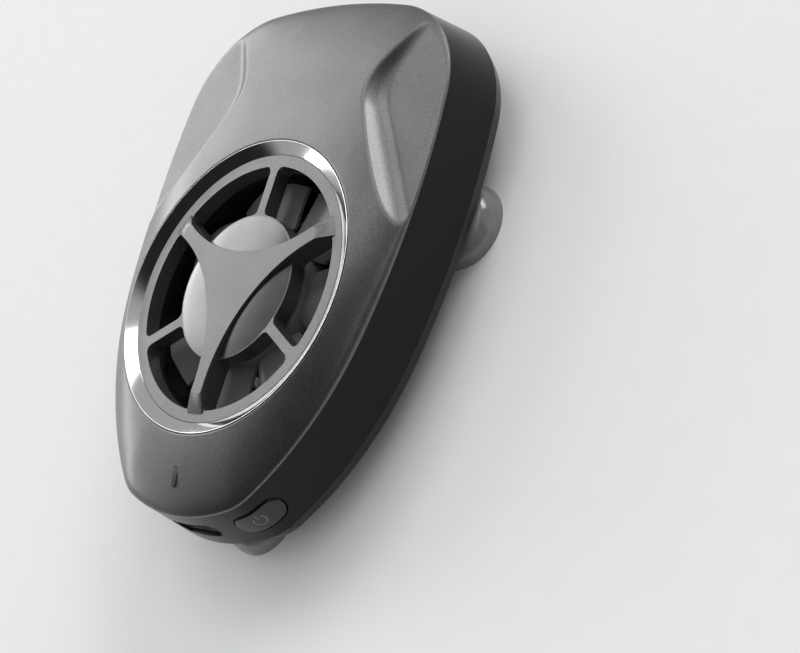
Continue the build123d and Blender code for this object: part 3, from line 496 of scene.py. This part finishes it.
def silicone(looks):
    """Pale glossy silicone with a soft bloom of dust."""
    shader = Shader("silicone", Coat_Weight=0.6, Coat_Roughness=0.08, Specular_IOR_Level=0.5)
    shader.set(Subsurface_Weight=0.25, Subsurface_Scale=2 * MM)
    bloom = shader.noise(looks.bloom_size, detail=5)
    shader.set(Base_Color=shader.ramp(bloom, looks.cup_colour, looks.bloom_colour, high=0.75))
    shader.set(Roughness=shader.spread(bloom, *looks.cup_rough))
    return shader.material


def moulded(name, colour, rough, grain_size=0.18 * MM, depth=0.012 * MM, shine=0.5, cloud_size=6 * MM,
            lightening=1.35, roughness_swing=0.06):
    """Moulded plastic with a fine spark-eroded grain."""
    shader = Shader(name, Specular_IOR_Level=shine)
    grain = shader.noise(grain_size, detail=3)
    cloud = shader.noise(cloud_size, detail=2)
    light = [channel * lightening for channel in colour]
    shader.set(Base_Color=shader.mix(cloud, colour, light))
    shader.set(Roughness=shader.spread(grain, rough - roughness_swing, rough + roughness_swing))
    shader.bump(grain, depth, strength=0.4)
    return shader.material


def plain_metal(name, colour, rough, density=(1, 1, 1), size=0.3 * MM, depth=0.01 * MM, darkening=0.8,
                polish=0.05, wear=0.08):
    """Bare metal with turned or drawn marks."""
    shader = Shader(name, Metallic=1.0)
    marks = shader.noise(size, detail=3, density=density)
    dark = [channel * darkening for channel in colour]
    shader.set(Base_Color=shader.mix(marks, dark, colour))
    shader.set(Roughness=shader.spread(marks, rough - polish, rough + wear))
    shader.bump(marks, depth, strength=0.3)
    return shader.material


def make_materials(looks):
    """Every finish, by the slot that takes it. The guard's cap has one of its own."""
    finishes = {
        "cover_metal": cover_metal(looks),
        "cap_metal": smooth_metal(looks),
        "polished_metal": polished_metal(looks),
        "silicone": silicone(looks),
        "black_plastic": moulded("black_band", looks.band_colour, looks.band_rough, grain_size=0.3 * MM,
                                 depth=0.003 * MM, shine=looks.band_shine),
        "gloss_button": moulded("gloss_button", looks.button_colour, looks.button_rough,
                                grain_size=0.4 * MM, depth=0.002 * MM),
        "clear_plastic": moulded("smoked_lens", looks.lens_colour, rough=0.2),
        "fan_plastic": moulded("fan_plastic", looks.fan_colour, rough=0.3, grain_size=0.3 * MM,
                               depth=0.004 * MM),
    }
    finishes.update({slot: moulded(**look) for slot, look in MOULDED.items()})
    finishes.update({slot: plain_metal(**look) for slot, look in METALS.items()})
    return finishes


def start_mesh():
    """Leaves edit mode and clears the selection, so that the next operator acts on its own piece alone."""
    if bpy.context.object and bpy.context.object.mode != "OBJECT":
        bpy.ops.object.mode_set(mode="OBJECT")
    bpy.ops.object.select_all(action="DESELECT")


def activate(piece):
    """Makes a piece the only selected one, and the one that operators act on."""
    start_mesh()
    bpy.context.view_layer.objects.active = piece
    piece.select_set(True)


def finished(piece, name, slot, body, replaced=(), finish=None):
    """Names a piece, gives it its slot's finish or another one, and seats it on its body."""
    piece.name = name
    piece.data.name = name
    piece.data.materials.clear()
    piece.data.materials.append(FINISHES[finish or slot])
    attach(piece, body)
    if replaced:
        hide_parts(*replaced)


def copied(node, name):
    """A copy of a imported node, with its loose triangles joined, on its own mesh."""
    piece = bpy.data.objects.new(name, frame["nodes"][node].data.copy())
    bpy.context.scene.collection.objects.link(piece)
    activate(piece)
    bpy.ops.object.mode_set(mode="EDIT")
    bpy.ops.mesh.select_all(action="SELECT")
    bpy.ops.mesh.remove_doubles(threshold=COPY_WELD)
    bpy.ops.mesh.customdata_custom_splitnormals_clear()
    bpy.ops.object.mode_set(mode="OBJECT")
    return piece


def eased(node, name, width, edge_angle, flat_angle):
    """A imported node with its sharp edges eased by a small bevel, as tooling leaves them."""
    piece = copied(node, name)
    bpy.ops.object.mode_set(mode="EDIT")
    bpy.ops.mesh.select_all(action="SELECT")
    bpy.ops.mesh.dissolve_limited(angle_limit=flat_angle, delimit={"NORMAL"})
    bpy.ops.object.mode_set(mode="OBJECT")
    ease = piece.modifiers.new("ease", "BEVEL")
    ease.width = width
    ease.segments = 2
    ease.limit_method = "ANGLE"
    ease.angle_limit = edge_angle
    bpy.ops.object.modifier_apply(modifier=ease.name)
    bpy.ops.object.shade_smooth()
    weights = piece.modifiers.new("weights", "WEIGHTED_NORMAL")
    weights.weight = 100
    bpy.ops.object.modifier_apply(modifier=weights.name)
    return piece


def wrapped(reach, height, angles, weld):
    """A closed mesh round the fan's axis, from rows of reach and height with a value for each angle."""
    start_mesh()
    places = np.stack([FAN_X + reach * np.cos(angles), FAN_Y + reach * np.sin(angles), height], axis=2)
    places = np.concatenate([places, places[:, :1]], axis=1)
    rows, columns, _ = places.shape
    bpy.ops.mesh.primitive_grid_add(x_subdivisions=columns - 1, y_subdivisions=rows - 1)
    piece = bpy.context.object
    piece.data.vertices.foreach_set("co", places.reshape(-1).astype(np.float32))
    piece.data.update()
    bpy.ops.object.mode_set(mode="EDIT")
    bpy.ops.mesh.select_all(action="SELECT")
    bpy.ops.mesh.remove_doubles(threshold=weld)
    bpy.ops.mesh.normals_make_consistent(inside=False)
    bpy.ops.object.mode_set(mode="OBJECT")
    return piece


def turned(profile, segments):
    """A closed ring turned round the fan's axis from a profile of (radius, height) points."""
    angles = np.linspace(0, 2 * math.pi, segments, endpoint=False)
    points = np.array([*profile, profile[0]])
    reach = np.repeat(points[:, :1], segments, axis=1)
    height = np.repeat(points[:, 1:], segments, axis=1)
    return wrapped(reach, height, angles, TURNED_WELD)


def rounded(corners, radius, steps=4, side_share=0.45):
    """A closed profile with each corner rounded by an arc, or less where its sides are short."""
    points = []
    for index, corner in enumerate(corners):
        here = Vector(corner)
        sides = [Vector(corners[index - 1]) - here, Vector(corners[(index + 1) % len(corners)]) - here]
        reach = min(radius, *(side.length * side_share for side in sides))
        start, end = (here + side.normalized() * reach for side in sides)
        for step in range(steps + 1):
            share = step / steps
            points.append(tuple(start * (1 - share)**2 + here * 2 * share * (1 - share) + end * share**2))
    return points


def mesh_tree(node):
    """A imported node's mesh, ready for rays."""
    mesh = frame["nodes"][node].data
    return BVHTree.FromPolygons([v.co for v in mesh.vertices], [p.vertices for p in mesh.polygons])


def reach_at(node, angles, height, smoothing):
    """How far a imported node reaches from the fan's axis at a height, all the way round."""
    tree = mesh_tree(node)
    middle = Vector((FAN_X, FAN_Y, height))
    far = 2 * (BAND_HIGH.y - BAND_LOW.y)
    reach = []
    for angle in angles:
        way = Vector((math.cos(angle), math.sin(angle), 0))
        hit = tree.ray_cast(middle + way * far, -way)
        reach.append((hit[0] - middle).length)
    window = np.hanning(smoothing + 2)[1:-1]
    window /= window.sum()
    half = smoothing // 2
    padded = np.concatenate([reach[-half:], reach, reach[:half]])
    return np.convolve(padded, window, mode="valid")


def smooth_least(first, second, blend):
    """The lesser of two heights, with their crease rounded over a blend."""
    share = np.clip(0.5 + 0.5 * (second - first) / blend, 0, 1)
    return second * (1 - share) + first * share - blend * share * (1 - share)


def shoulder_height(values, across, along):
    """Height of the shoulder's floor and walls at places measured from the fan's axis."""
    ends = (values.shoulder_corner, values.shoulder_top, values.shoulder_low)
    corner, top, low = (np.array(end[:]) for end in ends)
    side = np.abs(across)
    floor = CROWN_TOP - values.shoulder_depth - math.tan(values.shoulder_tilt) * (side - corner[0])
    floor += values.shoulder_rise * np.clip((corner[1] - along) / (corner[1] - low[1]), 0, 1) ** 2
    distance = []
    for end, hand in ((top, 1), (low, -1)):
        run = (end - corner) / np.linalg.norm(end - corner)
        distance.append(hand * (run[0] * (along - corner[1]) - run[1] * (side - corner[0])))
    outside = -smooth_least(-distance[0], -distance[1], values.corner_round)
    rise = -smooth_least(np.zeros_like(outside), -outside, values.foot_round)
    return floor + rise / math.tan(values.wall_tilt)


def cover_height(values, across, along, share):
    """Height of the cover's outer surface, with the shoulders cut in, at a share of the way to the rim."""
    cone = share
    dome = 1 - np.sqrt(1 - share**2)
    crown = CROWN_TOP - values.crown_depth * (cone + dome) / 2
    return smooth_least(crown, shoulder_height(values, across, along), values.ridge_round)


def cut_slot(cover, values):
    """Cuts the light slot through the cover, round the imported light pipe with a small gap."""
    low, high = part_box("light_pipe")
    middle = Vector(((low.x + high.x) / 2, (low.y + high.y) / 2, high.z))
    size = (values.slot_width, values.slot_length, values.slot_depth)
    nearly_half = 0.499
    start_mesh()
    bpy.ops.mesh.primitive_cube_add(size=1, location=middle, scale=size)
    bpy.ops.object.transform_apply(location=True, rotation=True, scale=True)
    cutter = bpy.context.object
    bpy.ops.object.mode_set(mode="EDIT")
    bpy.ops.mesh.select_all(action="SELECT")
    bpy.ops.mesh.bevel(offset=values.slot_width * nearly_half, segments=8, affect="EDGES")
    activate(cover)
    slot = cover.modifiers.new("slot", "BOOLEAN")
    slot.object = cutter
    slot.operation = "DIFFERENCE"
    bpy.ops.object.modifier_apply(modifier=slot.name)
    bpy.data.objects.remove(cutter)


def facing(mesh, way, least_cosine=0.9):
    """The mean middle and the mean outward way of the faces that look a given way."""
    faces = [face for face in mesh.polygons if face.normal.dot(way) > least_cosine]
    area = sum(face.area for face in faces)
    middle = sum((face.center * face.area for face in faces), Vector()) / area
    out = sum((face.normal * face.area for face in faces), Vector()).normalized()
    return middle, out


def button_face():
    """The middle, outward way and level way of the power button's outer face."""
    mesh = frame["nodes"]["power_button"].data
    middle = sum((v.co for v in mesh.vertices), Vector()) / len(mesh.vertices)
    from_axis = Vector((middle.x - FAN_X, middle.y - FAN_Y, 0)).normalized()
    out = facing(mesh, from_axis)[1]
    middle = facing(mesh, out)[0]
    level = Vector((0, 0, 1)).cross(out).normalized()
    return middle, out, level


def sign_ring(values):
    """The power sign's ring, open at the top, with both ends closed."""
    start_mesh()
    bpy.ops.mesh.primitive_torus_add(major_segments=64, minor_segments=10,
                                     major_radius=values.sign_radius, minor_radius=values.sign_stroke)
    ring = bpy.context.object
    bpy.ops.object.mode_set(mode="EDIT")
    bpy.ops.mesh.select_all(action="DESELECT")
    bpy.ops.object.mode_set(mode="OBJECT")
    for vertex in ring.data.vertices:
        vertex.select = abs(math.atan2(vertex.co.x, vertex.co.y)) < values.sign_gap
    bpy.ops.object.mode_set(mode="EDIT")
    bpy.ops.mesh.delete(type="VERT")
    bpy.ops.mesh.select_all(action="DESELECT")
    bpy.ops.mesh.select_non_manifold()
    bpy.ops.mesh.edge_face_add()
    bpy.ops.object.mode_set(mode="OBJECT")
    return ring


def sign_bar(values):
    """The power sign's bar: a ball whose two halves are drawn apart."""
    start_mesh()
    bpy.ops.mesh.primitive_uv_sphere_add(segments=12, ring_count=8, radius=values.sign_stroke)
    bar = bpy.context.object
    bpy.ops.object.mode_set(mode="EDIT")
    bpy.ops.mesh.select_all(action="SELECT")
    bpy.ops.transform.rotate(value=math.radians(90), orient_axis="X", center_override=(0, 0, 0))
    bpy.ops.object.mode_set(mode="OBJECT")
    low, high = values.sign_bar_shares
    for vertex in bar.data.vertices:
        vertex.co.y += (low if vertex.co.y < 0 else high) * values.sign_radius
    return bar


class COOLER_OT_finishes(bpy.types.Operator):
    """Give every carried-over piece its finish"""
    bl_idname = "cooler.finishes"
    bl_label = "Finishes"

    def execute(self, context):
        FINISHES.update(make_materials(context.scene.cooler_looks))
        for name, node in frame["nodes"].items():
            node.data.materials.clear()
            node.data.materials.append(FINISHES[SLOT_OF[name]])
        return {"FINISHED"}


class COOLER_OT_cover(bpy.types.Operator):
    """Shape the crowned front cover with its two shoulders and the light slot"""
    bl_idname = "cooler.cover"
    bl_label = "Front cover"

    def execute(self, context):
        values = context.scene.cooler_cover
        angles = np.linspace(0, 2 * math.pi, values.turns, endpoint=False)
        ring = np.ones(values.turns)
        seam = BAND_HIGH.z
        rim = reach_at("mid_frame", angles, seam - values.rim_inset, values.rim_smoothing)
        inner = BEZEL_RADIUS + values.lip_gap
        start = inner + values.lip_round

        def surface(reach):
            """Height of the outer surface at a reach from the axis, one value for each angle."""
            share = np.clip((reach - BEZEL_RADIUS) / (rim - BEZEL_RADIUS), 0, 1)
            return cover_height(values, reach * np.cos(angles), reach * np.sin(angles), share)

        lip = surface(start * ring)
        lines = [(inner * ring, BEZEL_LOW.z * ring), (inner * ring, lip - 2 * values.lip_round)]
        for row in range(values.lip_rows):
            angle = math.radians(90) * row / values.lip_rows
            reach = start - values.lip_round * math.cos(angle)
            lines.append((reach * ring, lip - values.lip_round * (1 - math.sin(angle))))
        for row in range(values.rows):
            share = 1 - (1 - row / (values.rows - 1)) ** values.edge_crowding
            reach = start + (rim - start) * share
            lines.append((reach, surface(reach)))
        inside, bore = rim - values.thickness, inner + values.thickness
        lines += [(rim, seam * ring), (inside, seam * ring)]
        for row in range(values.lining_rows):
            reach = inside + (bore - inside) * row / (values.lining_rows - 1)
            lines.append((reach, np.maximum(surface(reach) - values.thickness, seam)))
        lines += [(bore * ring, BEZEL_LOW.z * ring), lines[0]]
        reach, height = (np.stack(rows) for rows in zip(*lines))
        cover = wrapped(reach, height, angles, COVER_WELD)
        cut_slot(cover, values)
        bpy.ops.object.shade_smooth_by_angle(angle=values.smooth_angle)
        finished(cover, "cover_shell", "cover_metal", "case", ["front_cover"])
        return {"FINISHED"}


class COOLER_OT_bezel(bpy.types.Operator):
    """Turn the polished bezel with fine rounded edges"""
    bl_idname = "cooler.bezel"
    bl_label = "Bezel"

    def execute(self, context):
        values = context.scene.cooler_details
        low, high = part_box("fan_guard")
        inner = (high.x - low.x) / 2 + values.bezel_gap
        corners = [(inner, BEZEL_LOW.z), (BEZEL_RADIUS, BEZEL_LOW.z), (BEZEL_RADIUS, BEZEL_HIGH.z),
                   (BEZEL_RADIUS - values.bezel_lip, BEZEL_HIGH.z), (inner, RING_TOP)]
        bezel = turned(rounded(corners, values.bezel_round), values.round_segments)
        bpy.ops.object.shade_smooth_by_angle(angle=values.edge_angle)
        finished(bezel, "bezel_turned", "polished_metal", "case", ["bezel_ring"])
        return {"FINISHED"}


class COOLER_OT_guard_cap(bpy.types.Operator):
    """Turn the smooth domed cap on the guard's hub"""
    bl_idname = "cooler.guard_cap"
    bl_label = "Guard cap"

    def execute(self, context):
        values = context.scene.cooler_details
        profile = []
        for share in np.linspace(1, 0, values.cap_rows):
            rise = values.cap_rise * (1 - share ** values.cap_fullness)
            profile.append((share * values.cap_radius, RING_TOP + rise))
        seat = RING_TOP - values.cap_seat
        profile += [(0, seat), (values.cap_radius, seat)]
        cap = turned(profile, values.round_segments)
        bpy.ops.object.shade_smooth_by_angle(angle=values.edge_angle)
        finished(cap, "guard_cap", "cover_metal", "case", finish="cap_metal")
        return {"FINISHED"}


class COOLER_OT_eased_pieces(bpy.types.Operator):
    """Ease the sharp edges of the rigid pieces that show, and smooth the others"""
    bl_idname = "cooler.eased_pieces"
    bl_label = "Eased pieces"

    def execute(self, context):
        values = context.scene.cooler_details
        for node, edge in EDGES.items():
            name = node + "_eased"
            if edge:
                piece = eased(node, name, getattr(values, edge), values.edge_angle, values.flat_angle)
            else:
                piece = copied(node, name)
                bpy.ops.object.shade_smooth_by_angle(angle=values.plain_angle)
            finished(piece, name, SLOT_OF[node], BODY_OF[node], [node])
        return {"FINISHED"}


class COOLER_OT_button_sign(bpy.types.Operator):
    """Lay a small plain power sign on the button's curved face"""
    bl_idname = "cooler.button_sign"
    bl_label = "Button sign"

    def execute(self, context):
        values = context.scene.cooler_details
        ring = sign_ring(values)
        bar = sign_bar(values)
        activate(ring)
        bar.select_set(True)
        bpy.ops.object.join()
        middle, out, level = button_face()
        upright = out.cross(level)
        tree = mesh_tree("power_button")
        for vertex in ring.data.vertices:
            start = middle + level * vertex.co.x + upright * vertex.co.y + out * STAND_OFF
            vertex.co = tree.ray_cast(start, -out)[0] + out * vertex.co.z * values.sign_relief
        bpy.ops.object.shade_smooth()
        finished(ring, "button_sign", "fan_plastic", "power_button")
        return {"FINISHED"}


class COOLER_OT_inlet_contacts(bpy.types.Operator):
    """Set two rows of flat contacts on the tongue of the charging inlet"""
    bl_idname = "cooler.inlet_contacts"
    bl_label = "Inlet contacts"

    def execute(self, context):
        values = context.scene.cooler_details
        low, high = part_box("usb_tongue")
        first = ((1 - values.contact_count) / 2 * values.contact_pitch, low.y + values.contact_inset,
                 values.contact_height)
        start_mesh()
        bpy.ops.mesh.primitive_cube_add(size=1)
        pads = context.object
        bpy.ops.object.mode_set(mode="EDIT")
        bpy.ops.mesh.select_all(action="SELECT")
        bpy.ops.transform.resize(value=values.contact_size)
        bpy.ops.transform.translate(value=first)
        bpy.ops.mesh.bevel(offset=values.contact_edge, segments=1)
        bpy.ops.object.mode_set(mode="OBJECT")
        row = pads.modifiers.new("row", "ARRAY")
        row.use_relative_offset = False
        row.use_constant_offset = True
        row.constant_offset_displace = (values.contact_pitch, 0, 0)
        row.count = values.contact_count
        bpy.ops.object.modifier_apply(modifier=row.name)
        twin = pads.modifiers.new("twin", "MIRROR")
        twin.use_axis = (False, False, True)
        twin.use_mirror_merge = False
        bpy.ops.object.modifier_apply(modifier=twin.name)
        pads.location = ((low.x + high.x) / 2, 0, (low.z + high.z) / 2)
        bpy.ops.object.transform_apply(location=True, rotation=True, scale=True)
        finished(pads, "inlet_contacts", "bronze", "case")
        return {"FINISHED"}


def area_light(name, aim, place, size, power):
    """A soft rectangular lamp that points at an aim."""
    light = bpy.data.lights.new(name, "AREA")
    light.shape = "RECTANGLE"
    light.size, light.size_y = size
    light.energy = power
    lamp = bpy.data.objects.new(name, light)
    lamp.location = place
    lamp.rotation_euler = (Vector(aim) - Vector(place)).to_track_quat("-Z", "Y").to_euler()
    bpy.context.scene.collection.objects.link(lamp)


def studio_world(values):
    """An even pale room, in which glossy surfaces see a dark wall in front of the fan."""
    world = bpy.data.worlds.new("studio")
    world.use_nodes = True
    room = Nodes(world.node_tree)
    tone = values.room_grey
    begins, full = values.dark_edge
    way = room.node("ShaderNodeTexCoord", output="Generated")
    toward = room.node("ShaderNodeVectorMath", {"operation": "DOT_PRODUCT"}, {0: way, 1: values.dark_way},
                       output="Value")
    wall = room.node("ShaderNodeMapRange", {}, {
        "Value": toward, "From Min": begins, "From Max": full,
        "To Min": values.room_share * tone, "To Max": values.dark_share * tone})
    glossy = room.node("ShaderNodeLightPath", output="Is Glossy Ray")
    seen = room.node("ShaderNodeMix", {}, {"Factor": glossy, "A": tone, "B": wall})
    room.fill(room.tree.nodes["Background"], {"Color": (*values.room_tint, 1), "Strength": seen})
    return world


class COOLER_OT_studio(bpy.types.Operator):
    """Set up the floor, soft lights, background and camera"""
    bl_idname = "cooler.studio"
    bl_label = "Studio"

    def execute(self, context):
        values = context.scene.cooler_studio
        start_mesh()
        bpy.ops.mesh.primitive_plane_add(size=values.floor_size)
        floor = context.object
        floor.name = "floor"
        shader = Shader("floor_paper", Roughness=0.9, Specular_IOR_Level=0.1)
        fibre = shader.noise(values.fibre_size, detail=3)
        dark, light = grey(values.floor_grey * values.fibre_share), grey(values.floor_grey)
        shader.set(Base_Color=shader.ramp(fibre, dark, light, low=0.2, high=0.8))
        floor.data.materials.append(shader.material)

        context.scene.world = studio_world(values)
        for name, lamp in LAMPS.items():
            area_light(name, (0, 0, values.aim_height), **lamp)

        camera_data = bpy.data.cameras.new("camera")
        camera_data.lens = values.lens
        camera_data.clip_start = values.nearest
        camera = bpy.data.objects.new("camera", camera_data)
        camera.location = values.camera_place
        camera.rotation_euler = values.camera_turn
        context.scene.collection.objects.link(camera)
        context.scene.camera = camera
        context.scene.view_settings.view_transform = "Standard"
        return {"FINISHED"}


class COOLER_PT_panel(bpy.types.Panel):
    """Steps and sizes of the cooling fan"""
    bl_idname = "COOLER_PT_panel"
    bl_label = "Cooling fan"
    bl_space_type = "VIEW_3D"
    bl_region_type = "UI"
    bl_category = "Cooling fan"

    def draw(self, context):
        column = self.layout.column()
        for operator in STEPS:
            column.operator(operator.bl_idname)
        for holder, group in HOLDERS.items():
            column.label(text=group.__name__)
            for name in group.__annotations__:
                column.prop(getattr(context.scene, holder), name)


HOLDERS = {
    "cooler_looks": CoolerFinishes,
    "cooler_cover": CoolerCover,
    "cooler_details": CoolerDetails,
    "cooler_studio": CoolerStudio,
}
STEPS = (COOLER_OT_finishes, COOLER_OT_cover, COOLER_OT_bezel, COOLER_OT_guard_cap, COOLER_OT_eased_pieces,
         COOLER_OT_button_sign, COOLER_OT_inlet_contacts, COOLER_OT_studio)
CLASSES = (*HOLDERS.values(), *STEPS, COOLER_PT_panel)


def register():
    for cls in CLASSES:
        bpy.utils.register_class(cls)
    for holder, group in HOLDERS.items():
        setattr(bpy.types.Scene, holder, bpy.props.PointerProperty(type=group))


def unregister():
    for holder in HOLDERS:
        delattr(bpy.types.Scene, holder)
    for cls in reversed(CLASSES):
        bpy.utils.unregister_class(cls)


def main():
    register()
    bpy.ops.cooler.finishes()
    bpy.ops.cooler.cover()
    bpy.ops.cooler.bezel()
    bpy.ops.cooler.guard_cap()
    bpy.ops.cooler.eased_pieces()
    bpy.ops.cooler.button_sign()
    bpy.ops.cooler.inlet_contacts()
    bpy.ops.cooler.studio()
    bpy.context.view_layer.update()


if __name__ == "__main__":
    main()
